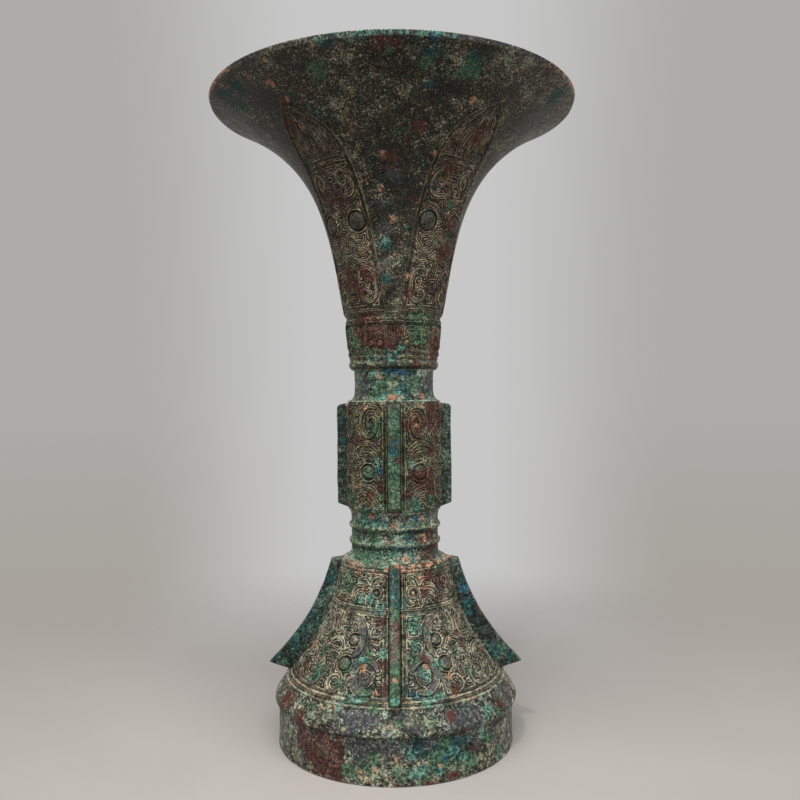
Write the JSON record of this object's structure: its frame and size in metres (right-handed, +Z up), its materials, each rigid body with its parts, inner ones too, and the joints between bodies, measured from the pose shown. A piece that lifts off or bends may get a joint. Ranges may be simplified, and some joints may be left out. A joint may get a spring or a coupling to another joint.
{
  "type": "bronze gu wine beaker",
  "caption": "Tall bronze beaker with a trumpet mouth, flanged drum and flared flanged foot on a plain ring, with cast mask and leaf ornament.",
  "frame": {"origin": "centre of the foot ring's resting face", "axes": "+Z up along the vessel's axis; -Y is the front, where a flange of the drum and one of the foot stand; +X is the viewer's right"},
  "size_m": [0.172, 0.172, 0.3],
  "materials": {
    "olive_bronze": "aged bronze, olive-brown to near black with tan thread relief and green, blue and red corrosion",
    "green_bronze": "aged bronze with malachite green and azurite blue crust",
    "dark_bronze": "aged bronze, dark and matt",
    "red_bronze": "aged bronze with dark cuprite red"
  },
  "bodies": {
    "root": {"trumpet_mouth": "olive_bronze", "collar_band": "olive_bronze", "upper_neck": "olive_bronze", "drum": "olive_bronze", "cup_floor": "dark_bronze", "lower_neck": "olive_bronze", "foot_skirt": "olive_bronze", "foot_shoulder": "olive_bronze", "foot_ring": "olive_bronze", "drum_flange_front": "green_bronze", "drum_flange_right": "green_bronze", "drum_flange_back": "green_bronze", "drum_flange_left": "green_bronze", "foot_flange_front": "green_bronze", "foot_flange_right": "green_bronze", "foot_flange_back": "green_bronze", "foot_flange_left": "green_bronze", "core_spacer_front": "red_bronze", "core_spacer_right": "red_bronze", "core_spacer_back": "red_bronze", "core_spacer_left": "red_bronze"}
  },
  "joints": []
}
